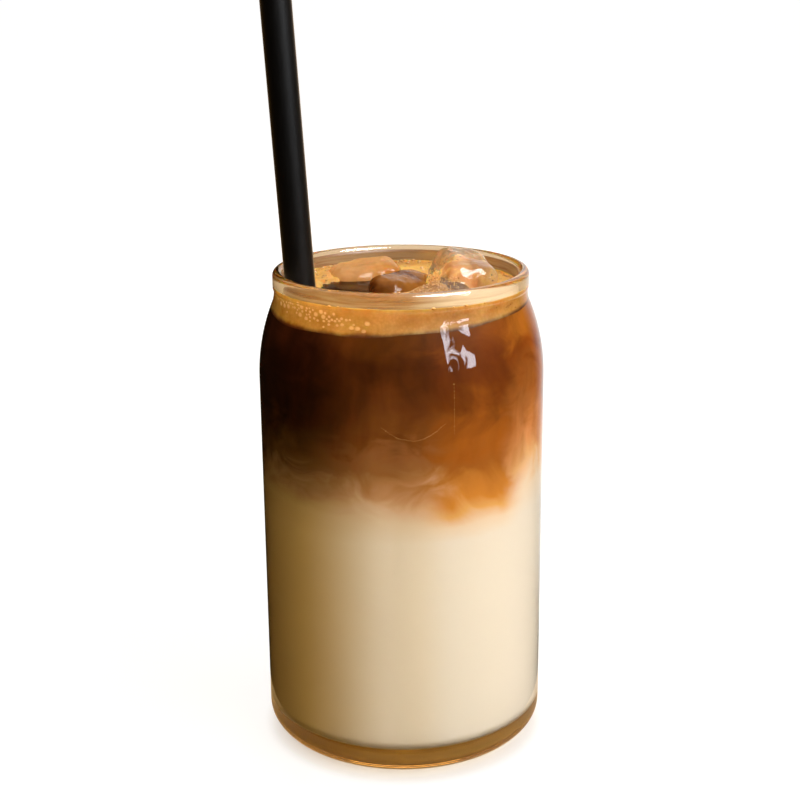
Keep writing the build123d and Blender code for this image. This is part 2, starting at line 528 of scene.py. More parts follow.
def crema_material(colours):
    """Crema: a fine wet foam, matt, mottled where bubbles of a third of a millimetre show."""
    material, tree = new_material("Crema, fine coffee foam")
    place = add_node(tree, "TexCoord").outputs["Object"]
    cells = add_node(tree, "TexVoronoi", {"Vector": place, "Scale": 1 / 0.0007}, feature="SMOOTH_F1")
    drift = add_node(
        tree, "TexNoise", {"Vector": place, "Scale": 1 / 0.006, "Detail": 4.0, "Roughness": 0.6}
    )
    mottle = add_node(
        tree,
        "MapRange",
        {"Value": drift.outputs["Fac"], "From Min": 0.38, "From Max": 0.68, "To Min": 0.0, "To Max": 0.75},
    )
    pale = add_node(
        tree, "Mix", {0: mottle, 6: tuple(colours.crema), 7: tuple(colours.crema_deep)}, data_type="RGBA"
    )
    cell_share = add_node(
        tree,
        "MapRange",
        {
            "Value": cells.outputs["Distance"],
            "From Min": 0.1,
            "From Max": 0.7,
            "To Min": 0.0,
            "To Max": 0.35,
        },
    )
    grained = add_node(
        tree, "Mix", {0: cell_share, 6: pale.outputs[2], 7: tuple(colours.crema_deep)}, data_type="RGBA"
    )
    # The lowest millimetre and a half is soaked with coffee.
    parts = add_node(tree, "SeparateXYZ", {0: place})
    slope_x = add_node(
        tree,
        "Math",
        {0: parts.outputs["X"], 1: -CREMA_SIDE_SLOPE, 2: parts.outputs["Z"]},
        operation="MULTIPLY_ADD",
    )
    slope_y = add_node(
        tree, "Math", {0: parts.outputs["Y"], 1: -CREMA_FRONT_SLOPE, 2: slope_x}, operation="MULTIPLY_ADD"
    )
    ragged = add_node(
        tree, "Math", {0: drift.outputs["Fac"], 1: -0.0016, 2: slope_y}, operation="MULTIPLY_ADD"
    )
    soaked = add_node(
        tree,
        "MapRange",
        {"Value": ragged, "From Min": 0.1192, "From Max": 0.1206},
        interpolation_type="SMOOTHSTEP",
    )
    final = add_node(tree, "Mix", {0: soaked, 6: linear("6E3A10"), 7: grained.outputs[2]}, data_type="RGBA")
    # Against the wall, 31 mm out, the foam's side is darkened as painted shade, darker than on top.
    flat = add_node(tree, "VectorMath", {0: place, 1: (1.0, 1.0, 0.0)}, operation="MULTIPLY")
    reach = add_node(tree, "VectorMath", {0: flat}, operation="LENGTH")
    wall_shade_share = add_node(
        tree,
        "MapRange",
        {"Value": reach.outputs["Value"], "From Min": 0.0305, "From Max": 0.0311, "To Max": 0.75},
    )
    wet = add_node(
        tree,
        "Mix",
        {0: wall_shade_share, 6: final.outputs[2], 7: (0.57, 0.55, 0.56, 1)},
        data_type="RGBA",
        blend_type="MULTIPLY",
    )
    bump = add_node(
        tree, "Bump", {"Height": cells.outputs["Distance"], "Strength": 0.5, "Distance": 0.00012}
    )
    body = add_node(
        tree,
        "BsdfPrincipled",
        {
            "Base Color": wet.outputs[2],
            "Roughness": 0.5,
            "IOR": 1.34,
            "Specular IOR Level": 0.25,
            "Subsurface Weight": 1.0,
            "Subsurface Radius": (1.0, 0.5, 0.16),
            "Subsurface Scale": 0.005,
            "Normal": bump,
        },
    )
    add_node(tree, "OutputMaterial", {"Surface": body})
    return material


def coffee_surface_material(colours):
    """Open coffee in the well: thin, dark and mirror smooth."""
    material, tree = new_material("Coffee, open surface")
    place = add_node(tree, "TexCoord").outputs["Object"]
    cloud = add_node(tree, "TexNoise", {"Vector": place, "Scale": 1 / 0.005, "Detail": 4.0})
    tint = add_node(
        tree,
        "Mix",
        {0: cloud.outputs["Fac"], 6: tuple(colours.coffee), 7: linear("3E1E0C")},
        data_type="RGBA",
    )
    body = add_node(
        tree,
        "BsdfPrincipled",
        {"Base Color": tint.outputs[2], "Roughness": 0.1, "IOR": 1.34, "Specular IOR Level": 0.06},
    )
    add_node(tree, "OutputMaterial", {"Surface": body})
    return material


def draw_floor_and_wall(bm, side, glass, reach, top, steps):
    """Draws the glass's floor, corner and wall from the axis up to a height, moved out by reach."""
    corner = glass.base_thickness + glass.floor_corner
    tip = bm.verts.new((0, 0, glass.base_thickness - reach))
    tip = line_to(bm, tip, side.body - glass.floor_corner - reach, glass.base_thickness - reach, 10)
    tip = arc_to(bm, tip, (side.body - glass.floor_corner - reach, corner), math.pi / 2, 10)
    return line_to(bm, tip, side.body, top, steps)


class COFFEE_OT_milk(bpy.types.Operator):
    """Pour the milk: it fills the glass's floor and stands higher on the straw's side"""

    bl_idname = "coffee.milk"
    bl_label = "Milk"

    def execute(self, context):
        glass = context.scene.coffee_glass
        drink = context.scene.coffee_drink
        side = SideCurve(glass, glass.wall - drink.wall_reach)
        level = glass.base_thickness + drink.milk_depth
        bm = bmesh.new()
        draw_floor_and_wall(bm, side, glass, drink.wall_reach, level, 40)
        tip = [v for v in bm.verts if abs(v.co.z - level) < 1e-7][0]
        line_to(bm, tip, 0, level, 20)
        turn_round(bm, 192)
        # The slope and waves of the top fade out 20 mm further down.
        start = level - 20 * MM
        for vert in bm.verts:
            x, y, z = vert.co
            share = smooth((z - start) / (level - start))
            vert.co.z = z + (milk_surface(drink, glass, x, y) - level) * share
        add_piece("milk_body", bm, drink_material("Whole milk, cold"), ["milk"], 60)
        return {"FINISHED"}


class TopSurface:
    """The drink's top: crema, the open well, and the pits that the ice lies in."""

    def __init__(self, context):
        self.glass = context.scene.coffee_glass
        self.drink = context.scene.coffee_drink
        self.level = self.glass.height - self.drink.crema_below_rim
        graph = context.evaluated_depsgraph_get()
        names = ("ice_right_lump", "ice_back_lump", "ice_middle_lump")
        self.ice = {name: BVHTree.FromObject(bpy.data.objects[name], graph) for name in names}
        self.well = polar(self.drink.well_reach, WELL_DIRECTION, 0.0)

    def depth_in(self, name, x, y):
        """How deep a point of the surface lies inside a lump, or minus its distance from it."""
        point = Vector((x, y, self.level - 0.5 * MM))
        place, normal, _, distance = self.ice[name].find_nearest(point)
        inside = (point - place).dot(normal) < 0
        return distance if inside else -distance

    def pit(self, x, y):
        """How far the ice presses the surface down."""
        deepest = max(self.depth_in(name, x, y) for name in self.ice)
        return self.drink.ice_pit * smooth((deepest - 0.25 * MM) / (4.5 * MM))

    def cover(self, x, y):
        """1 where crema covers the coffee, 0 where the coffee lies open."""
        turned = Matrix.Rotation(math.radians(-WELL_TURN), 2) @ Vector((x - self.well.x, y - self.well.y))
        across = Vector((turned.x / self.drink.well_length, turned.y / self.drink.well_width))
        ragged = 0.22 * noise.fractal(Vector((x, y, 0.3)) / (5 * MM), 0.8, 2.0, 4)
        well = (2 * across.length - 1 + ragged) / 0.16
        # The coffee also lies open for about a millimetre round the lump in the middle.
        near = -self.depth_in("ice_middle_lump", x, y) / MM - 1.0 + 2 * ragged
        return smooth(0.5 + min(well, near) / 2)

    def crema(self, x, y, reach):
        """Height of the crema's top at a point that lies reach from the wall."""
        cover = self.cover(x, y)
        place = Vector((x, y, 0)) / MM
        # Low swells about 6 mm across, with a grain of about 1 mm on them.
        relief = 0.16 * noise.fractal(place / 6, 0.9, 2.0, 5)
        relief += 0.05 * noise.fractal(place / 1.1, 0.8, 2.0, 2)
        meniscus = MENISCUS * math.exp(-reach / (1.1 * MM))
        up = (relief * cover + meniscus) * MM
        return self.level + up - self.pit(x, y) - (1 - cover) * 2.1 * self.drink.well_depth

    def coffee(self, x, y):
        """Height of the coffee's top, open in the well and under the crema elsewhere."""
        under = crema_underside(self.drink, self.glass, x, y)
        cover = self.cover(x, y)
        if cover > 0.98:
            return under
        opened = self.level - self.drink.well_depth - self.pit(x, y)
        return max(under, opened + (under - opened) * smooth((cover - 0.6) / 0.38))


class COFFEE_OT_coffee(bpy.types.Operator):
    """Pour the coffee: it lies on the milk, and comes up through the crema in the well"""

    bl_idname = "coffee.coffee"
    bl_label = "Coffee"

    def execute(self, context):
        top = TopSurface(context)
        glass, drink = top.glass, top.drink
        side = SideCurve(glass, glass.wall - drink.wall_reach)
        low = glass.base_thickness + drink.milk_depth
        high = top.level - drink.crema_depth
        bm = bmesh.new()
        tip = bm.verts.new((0, 0, low))
        tip = line_to(bm, tip, side.body, low, 16)
        tip = line_to(bm, tip, side.body, side.start, 18)
        rise = math.asin((high - side.start) / side.shoulder_radius)
        tip = arc_to(bm, tip, side.shoulder_centre, rise, 16)
        line_to(bm, tip, 0, high, 80)
        turn_round(bm, 192)
        middle = (low + high) / 2
        for vert in bm.verts:
            x, y, z = vert.co
            if z < middle:
                share = smooth((middle - z) / (middle - low))
                vert.co.z = z + (milk_surface(drink, glass, x, y) - low) * share
            elif z > high - 1e-7 and vert.co.xy.length < side.reach(high) - 1e-5:
                vert.co.z = top.coffee(x, y)
            else:
                share = smooth((z - middle) / (high - middle))
                vert.co.z = z + (crema_underside(drink, glass, x, y) - high) * share
                vert.co.xy *= side.reach(vert.co.z) / vert.co.xy.length
        material = drink_material("Coffee with milk")
        piece = add_piece("coffee_body", bm, material, ["coffee"], 60)
        piece.data.materials.append(coffee_surface_material(context.scene.coffee_colours))
        # Faces that look up from the well, clear of the wall, are open coffee.
        for polygon in piece.data.polygons:
            if polygon.center.z > high - 4 * MM and polygon.center.xy.length < side.neck - 1.5 * MM:
                if polygon.normal.z > 0.05:
                    polygon.material_index = 1
        return {"FINISHED"}


class COFFEE_OT_crema(bpy.types.Operator):
    """Lay the crema: a foam layer with a ragged well and a pit round each lump of ice"""

    bl_idname = "coffee.crema"
    bl_label = "Crema"

    def execute(self, context):
        top = TopSurface(context)
        glass, drink = top.glass, top.drink
        side = SideCurve(glass, glass.wall - drink.wall_reach)
        low = top.level - drink.crema_depth
        bm = bmesh.new()
        tip = bm.verts.new((0, 0, low))
        tip = line_to(bm, tip, side.reach(low), low, 6)
        tip = line_to(bm, tip, side.neck, top.level, 18)
        line_to(bm, tip, 0, top.level, 84)
        turn_round(bm, 384)
        for vert in bm.verts:
            x, y, z = vert.co
            if z > top.level - 1e-7:
                vert.co.z = top.crema(x, y, side.neck - vert.co.xy.length)
                continue
            share = (z - low) / (top.level - low)
            edge = top.level + MENISCUS * MM
            under = crema_underside(drink, glass, x, y)
            vert.co.z = under + (edge - under) * share
            if vert.co.xy.length > side.neck - 1e-5:
                vert.co.xy *= side.reach(vert.co.z) / vert.co.xy.length
        material = crema_material(context.scene.coffee_colours)
        add_piece("crema_foam", bm, material, ["crema"], 60)
        return {"FINISHED"}


# ------------------------------------------------------------------------------ ice
def ice_material(name, rough, tint, shade, clearness):
    """Ice from a tray, half melted: wet, with soft hollows in its face, clear or under a film."""
    material, tree = new_material(name)
    place = add_node(tree, "TexCoord").outputs["Object"]
    hollows = add_node(
        tree, "TexNoise", {"Vector": place, "Scale": 1 / 0.0035, "Detail": 2.0, "Roughness": 0.5}
    )
    bump = add_node(tree, "Bump", {"Height": hollows.outputs["Fac"], "Strength": 1.0, "Distance": 0.0004})
    # The film's colour goes from shade on the straw's side to tint on the far side, in patches about
    # 8 mm across. On the right and middle lumps, whose shade is the darker, that side is painted shade.
    patches = add_node(tree, "TexNoise", {"Vector": place, "Scale": 1 / 0.008, "Detail": 3.0})
    side = add_node(tree, "SeparateXYZ", {0: place})
    thin = add_node(
        tree, "Math", {0: side.outputs["X"], 1: 30.0, 2: patches.outputs["Fac"]}, operation="MULTIPLY_ADD"
    )
    share = add_node(tree, "MapRange", {"Value": thin, "From Min": 0.3, "From Max": 0.6})
    film = add_node(tree, "Mix", {0: share, 6: linear(shade), 7: linear(tint)}, data_type="RGBA")
    clear = add_node(
        tree,
        "BsdfPrincipled",
        {
            "Base Color": film.outputs[2],
            "Roughness": rough,
            "IOR": 1.31,
            "Specular IOR Level": 0.5 if clearness > 0.6 else 0.02,
            "Transmission Weight": clearness,
            "Normal": bump,
        },
    )
    mixed = let_lamps_in(tree, clear)
    add_node(tree, "OutputMaterial", {"Surface": mixed})
    return material


class COFFEE_OT_ice(bpy.types.Operator):
    """Melt the ice: each CAD lump gets rounded edges, hollows and an uneven face"""

    bl_idname = "coffee.ice"
    bl_label = "Ice"

    def execute(self, context):
        finishes = {
            # Label, roughness, tint, shade and clearness; the darker shades of the right and middle lumps
            # are painted shade.
            "ice_right": ("Ice, clear and wet", 0.06, "C8BCA6", "BCA074", 0.74),
            "ice_back": ("Ice, under a film of crema", 0.15, "C89448", "DCB27A", 0.4),
            "ice_middle": ("Ice, wet with coffee", 0.12, "C8863C", "8A5024", 0.5),
        }
        for name, (label, rough, tint, shade, clearness) in finishes.items():
            rough_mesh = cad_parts[name].data.copy()
            rough_piece = bpy.data.objects.new(name + "_rough", rough_mesh)
            context.scene.collection.objects.link(rough_piece)
            bm = bmesh.new()
            bm.from_mesh(rough_mesh)
            bmesh.ops.remove_doubles(bm, verts=bm.verts, dist=1e-6)
            bm.to_mesh(rough_mesh)
            bm.free()
            remesh = rough_piece.modifiers.new("Even skin", "REMESH")
            remesh.mode = "VOXEL"
            remesh.voxel_size = 0.5 * MM
            graph = context.evaluated_depsgraph_get()
            skin = bpy.data.meshes.new_from_object(rough_piece.evaluated_get(graph))
            bpy.data.objects.remove(rough_piece)
            bm = bmesh.new()
            bm.from_mesh(skin)
            for _ in range(6):
                bmesh.ops.smooth_vert(
                    bm, verts=bm.verts, factor=0.5, use_axis_x=True, use_axis_y=True, use_axis_z=True
                )
            bm.normal_update()
            for vert in bm.verts:
                place = vert.co / MM
                hollow = 0.55 * noise.fractal(place / 7, 0.9, 2.0, 3)
                hollow += 0.12 * noise.fractal(place / 2.2, 0.9, 2.0, 2)
                vert.co += vert.normal * min(hollow, 0.25) * MM
            bmesh.ops.recalc_face_normals(bm, faces=bm.faces)
            add_piece(name + "_lump", bm, ice_material(label, rough, tint, shade, clearness), [name])
        return {"FINISHED"}


# ------------------------------------------------------------------------------ straw
def straw_material(colours):
    """Black polypropylene, extruded: satin, with faint lines along it from the die."""
    material, tree = new_material("Polypropylene, extruded, black")
    place = add_node(tree, "TexCoord").outputs["Object"]
    # Grain about 0.6 mm across and a few millimetres long.
    drawn = add_node(tree, "Mapping", {"Vector": place, "Scale": (1.0, 1.0, 0.12)})
    grain = add_node(tree, "TexNoise", {"Vector": drawn, "Scale": 1 / 0.0006, "Detail": 3.0})
    rough = add_node(tree, "MapRange", {"Value": grain.outputs["Fac"], "To Min": 0.36, "To Max": 0.5})
    tint = add_node(
        tree,
        "Mix",
        {0: grain.outputs["Fac"], 6: tuple(colours.straw), 7: linear("090706")},
        data_type="RGBA",
    )
    bump = add_node(tree, "Bump", {"Height": grain.outputs["Fac"], "Strength": 0.6, "Distance": 0.00003})
    body = add_node(
        tree,
        "BsdfPrincipled",
        {
            "Base Color": tint.outputs[2],
            "Roughness": rough,
            "IOR": 1.49,
            "Specular IOR Level": 0.14,
            "Sheen Weight": 1.0,
            "Sheen Roughness": 0.3,
            "Sheen Tint": (1.0, 0.8, 0.55, 1.0),
            "Normal": bump,
        },
    )
    add_node(tree, "OutputMaterial", {"Surface": body})
    return material


class COFFEE_OT_straw(bpy.types.Operator):
    """Cut the straw: a thin tube with square ends, leaning from the floor to the lip"""

    bl_idname = "coffee.straw"
    bl_label = "Straw"

    def execute(self, context):
        glass = context.scene.coffee_glass
        straw = context.scene.coffee_straw
        radius = straw.diameter / 2
        lip = (glass.wall + glass.bead_stand_out) / 2
        lip_reach = glass.body_radius - glass.shoulder_drop - glass.wall - STRAW_GAP - radius
        foot = polar(STRAW_FOOT_REACH, STRAW_FOOT_DIRECTION, glass.base_thickness)
        rim = polar(lip_reach, STRAW_RIM_DIRECTION, glass.height - lip)
        lean = (rim - foot).normalized()
        rise = STRAW_GAP + radius * math.sin(math.acos(lean.z))
        foot += lean * (rise / lean.z)
        edge = 0.12 * MM
        bm = bmesh.new()
        tip = bm.verts.new((radius - straw.wall, 0, edge))
        tip = arc_to(bm, tip, (radius - straw.wall + edge, edge), math.pi / 2, 3)
        tip = line_to(bm, tip, radius - edge, 0)
        tip = arc_to(bm, tip, (radius - edge, edge), math.pi / 2, 3)
        tip = line_to(bm, tip, radius, straw.length - edge, 60)
        tip = arc_to(bm, tip, (radius - edge, straw.length - edge), math.pi / 2, 3)
        tip = line_to(bm, tip, radius - straw.wall + edge, straw.length)
        tip = arc_to(bm, tip, (radius - straw.wall + edge, straw.length - edge), math.pi / 2, 3)
        line_to(bm, tip, radius - straw.wall, edge, 60)
        turn_round(bm, 64)
        place = Matrix.Translation(foot) @ lean.to_track_quat("Z", "Y").to_matrix().to_4x4()
        bmesh.ops.transform(bm, matrix=place, verts=bm.verts)
        add_piece("drinking_straw", bm, straw_material(context.scene.coffee_colours), ["straw"])
        return {"FINISHED"}


# ------------------------------------------------------------------------------ bubbles
def bubble_material():
    """Bubbles of the crema: a pale skin over air, with painted shade low on each where they meet; specks
    are dark.
    """
    material, tree = new_material("Coffee foam, bubble skins")
    tone_and_shade = add_node(tree, "Attribute", attribute_name="tone_and_shade").outputs["Fac"]
    stops = ((0.0, "6B4420"), (0.3, "C48A42"), (1.0, "EAC084"))
    tint = fill_ramp(add_node(tree, "ValToRGB", {0: tone_and_shade}), stops, 0, 1)
    body = add_node(tree, "BsdfPrincipled", {"Base Color": tint, "Roughness": 0.25, "IOR": 1.34})
    add_node(tree, "OutputMaterial", {"Surface": body})
    return material


def add_blob(bm, layer, centre, radius, outward, flatness, low=0.3, high=1.0, detail=2):
    """One small dome: a ball flattened along outward, with its tone on a layer, low at its foot to high at
    its top.
    """
    turn = outward.to_track_quat("Z", "Y").to_matrix().to_4x4()
    squash = Matrix.Diagonal((1.0, 1.0, flatness, 1.0))
    made = bmesh.ops.create_icosphere(bm, subdivisions=detail, radius=radius, matrix=Matrix.Identity(4))
    for vert in made["verts"]:
        # Where low and high differ, the darker foot is painted shade and the paler top painted light.
        vert[layer] = low + (high - low) * smooth((vert.co.z / radius - 0.25) / 0.55)
    bmesh.ops.transform(bm, matrix=Matrix.Translation(centre) @ turn @ squash, verts=made["verts"])


class COFFEE_OT_bubbles(bpy.types.Operator):
    """Scatter the foam's larger bubbles on the crema and in a cluster against the glass"""

    bl_idname = "coffee.bubbles"
    bl_label = "Bubbles"

    def execute(self, context):
        top = TopSurface(context)
        glass, drink = top.glass, top.drink
        side = SideCurve(glass, glass.wall - drink.wall_reach)
        chance = random.Random(11)
        bm = bmesh.new()
        layer = bm.verts.layers.float.new("tone_and_shade")
        placed = []

        def free(centre, radius):
            return all((centre - other).length > 0.85 * (radius + size) for other, size in placed)

        # Bubbles lie all over the crema, and nearly half of them have drifted to the wall.
        for _ in range(900):
            reach = side.neck * math.sqrt(chance.random())
            angle = chance.uniform(0, 360)
            if chance.random() < 0.45:
                reach = side.neck - chance.uniform(0.5, 2.0) * MM
            radius = chance.choice((0.22, 0.3, 0.35, 0.45, 0.6)) * MM
            spot = polar(reach, angle, 0)
            if top.cover(spot.x, spot.y) < 0.97 or top.pit(spot.x, spot.y) > 0:
                continue
            spot.z = top.crema(spot.x, spot.y, side.neck - reach)
            if not free(spot, radius):
                continue
            placed.append((spot, radius))
            add_blob(bm, layer, spot, radius, Vector((0, 0, 1)), 0.55)
        # A cluster of larger ones is pressed against the wall at the front, on the straw's side.
        for _ in range(380):
            angle = chance.gauss(225.0, 13.0)
            height = (124.3 - 0.055 * (angle - 200.0) + chance.gauss(0, 0.9)) * MM
            if not (195 < angle < 256 and 119.6 * MM < height < 124.8 * MM):
                continue
            radius = chance.choice((0.4, 0.5, 0.65, 0.8, 0.9)) * MM
            outward = polar(1.0, angle, 0)
            spot = polar(side.reach(height), angle, height)
            if not free(spot, radius):
                continue
            placed.append((spot, radius))
            add_blob(bm, layer, spot, radius, outward, 0.18)
        # Fine foam clings to the low tongue of the ice on the right, some of it dark.
        ice = bpy.data.objects["ice_right_lump"].data
        tongue = [
            v for v in ice.vertices
            if v.co.x < 15 * MM and v.co.y < 4 * MM and -0.3 * MM < v.co.z - top.level < 3.6 * MM
        ]
        for vert in chance.sample(tongue, min(420, len(tongue))):
            radius = chance.choice((0.1, 0.14, 0.2)) * MM
            tone = chance.choice((0.0, 0.35, 1.0, 1.0))
            add_blob(bm, layer, vert.co, radius, vert.normal, 0.6, tone, tone, 1)
        # Coffee grounds in the foam against the wall, a few together.
        for _ in range(14):
            angle = chance.gauss(328.0, 4.0)
            height = chance.uniform(121.6, 124.6) * MM
            spot = polar(side.reach(height), angle, height)
            radius = chance.choice((0.1, 0.14, 0.18)) * MM
            add_blob(bm, layer, spot, radius, polar(1.0, angle, 0), 0.3, 0.0, 0.0, 1)
        # Fine bubbles cling to the wall in the coffee: one line upright, one sagging. Their pale flat tone
        # is a painted highlight, the glint of such bubbles.
        upright = [(290.7, 94.8 + 0.9 * step) for step in range(15)]
        sagging = [(262.0 + 0.8 * step, 93.7 + 3.4 * (step / 15 - 1) ** 2) for step in range(32)]
        for angle, height in upright + sagging:
            height = (height + chance.uniform(-0.15, 0.15)) * MM
            spot = polar(side.reach(height), angle, height)
            radius = chance.choice((0.09, 0.12, 0.16)) * MM
            add_blob(bm, layer, spot, radius, polar(1.0, angle, 0), 0.4, 0.6, 0.6, 1)
        add_piece("crema_bubbles", bm, bubble_material())
        return {"FINISHED"}


# ------------------------------------------------------------------------------ film painting the surroundings
def surroundings_film_material(colours):
    """A thin film on the wall in level streaks, seen through rather than at: it paints the dim surroundings
    that the glass shows.
    """
    material, tree = new_material("Film painting the dim surroundings")
    place = add_node(tree, "TexCoord").outputs["Object"]
    # Level streaks about 1 mm high and 20 mm long.
    flat = add_node(tree, "Mapping", {"Vector": place, "Scale": (1.0, 1.0, 18.0)})
    runs = add_node(tree, "TexNoise", {"Vector": flat, "Scale": 1 / 0.02, "Detail": 2.0})
    streaked = add_node(
        tree, "MapRange", {"Value": runs.outputs["Fac"], "From Min": 0.34, "From Max": 0.54}
    )
    parts = add_node(tree, "SeparateXYZ", {0: place})
    # It is browner towards the lip and greyer below, a painted reflection of the rim's bands.
    rise = add_node(
        tree,
        "MapRange",
        {
            "Value": parts.outputs["Z"],
            "From Min": 0.1278,
            "From Max": 0.1286,
            "To Min": 1.0,
            "To Max": 0.35,
        },
    )
    grey = add_node(tree, "Math", {0: streaked, 1: rise}, operation="MULTIPLY")
    brown = add_node(
        tree, "Mix", {0: grey, 6: linear("97642A"), 7: tuple(colours.residue)}, data_type="RGBA"
    )
    # Paler at the front, away from the straw: a painted highlight.
    front = add_node(
        tree, "Math", {0: parts.outputs["Y"], 1: -0.8, 2: parts.outputs["X"]}, operation="MULTIPLY_ADD"
    )
    uneven = add_node(tree, "Math", {0: runs.outputs["Fac"], 1: 0.012, 2: front}, operation="MULTIPLY_ADD")
    pale = add_node(tree, "MapRange", {"Value": uneven, "From Min": 0.032, "From Max": 0.044})
    tint = add_node(tree, "Mix", {0: pale, 6: brown.outputs[2], 7: linear("D6C4AC")}, data_type="RGBA")
    thick = add_node(
        tree,
        "MapRange",
        {"Value": runs.outputs["Fac"], "From Min": 0.3, "From Max": 0.7, "To Min": 0.6, "To Max": 0.85},
    )
    film = add_node(
        tree,
        "BsdfPrincipled",
        {"Base Color": tint.outputs[2], "Roughness": 0.4, "IOR": 1.34, "Alpha": thick},
    )
    add_node(tree, "OutputMaterial", {"Surface": film})
    return material


class COFFEE_OT_surroundings_film(bpy.types.Operator):
    """Lay a film on the wall between the crema and the lip, which paints the dim surroundings seen through
    the glass
    """

    bl_idname = "coffee.residue"
    bl_label = "Surroundings film"

    def execute(self, context):
        glass = context.scene.coffee_glass
        drink = context.scene.coffee_drink
        inner = SideCurve(glass, glass.wall)
        lip = (glass.wall + glass.bead_stand_out) / 2
        low = glass.height - drink.crema_below_rim - 0.2 * MM
        high = glass.height - lip + 0.2 * MM
        reach = inner.neck - 0.03 * MM
        bm = bmesh.new()
        tip = bm.verts.new((reach, 0, low))
        tip = line_to(bm, tip, reach - 0.04 * MM, low)
        tip = line_to(bm, tip, reach - 0.04 * MM, high, 4)
        tip = line_to(bm, tip, reach, high)
        line_to(bm, tip, reach, low, 4)
        bmesh.ops.remove_doubles(bm, verts=bm.verts, dist=1e-7)
        turn_round(bm, 192)
        add_piece("foam_residue", bm, surroundings_film_material(context.scene.coffee_colours))
        return {"FINISHED"}


# ------------------------------------------------------------------------------ stage
CAMERA_PLACE = (-0.49 * MM, -385.30 * MM, 207.03 * MM)
CAMERA_DIP = 16.415  # degrees that it looks down
CAMERA_ROLL = -0.51
CAMERA_LENS = 66.953
CARD_TURN = 345.0  # degrees that the dark card bends round the part
LAMPS = (
    # name, direction from the front towards +X, elevation, level, size, colour
    ("key", 55.0, 42.0, 0.47, 0.55, "ECF6FA"),
    ("front", 23.0, 30.0, 0.20, 0.50, "FFC240"),
    ("side", 97.0, 25.0, 0.31, 0.50, "FFF4F2"),
    ("top", 0.0, 88.0, 0.35, 0.60, "FFF6EC"),
    ("back", 180.0, 35.0, 0.55, 0.60, "FFF3E2"),
)


def white_to_the_eye(tree):
    """1 for rays that come straight from the camera, also by way of gloss or clear glass."""
    rays = add_node(tree, "LightPath")
    seen = rays.outputs["Is Camera Ray"]
    for name in ("Is Glossy Ray", "Is Transmission Ray"):
        seen = add_node(tree, "Math", {0: seen, 1: rays.outputs[name]}, operation="MAXIMUM").outputs[0]
    first = add_node(tree, "Math", {0: rays.outputs["Diffuse Depth"], 1: 0.5}, operation="LESS_THAN")
    return add_node(tree, "Math", {0: seen, 1: first}, operation="MULTIPLY").outputs[0]


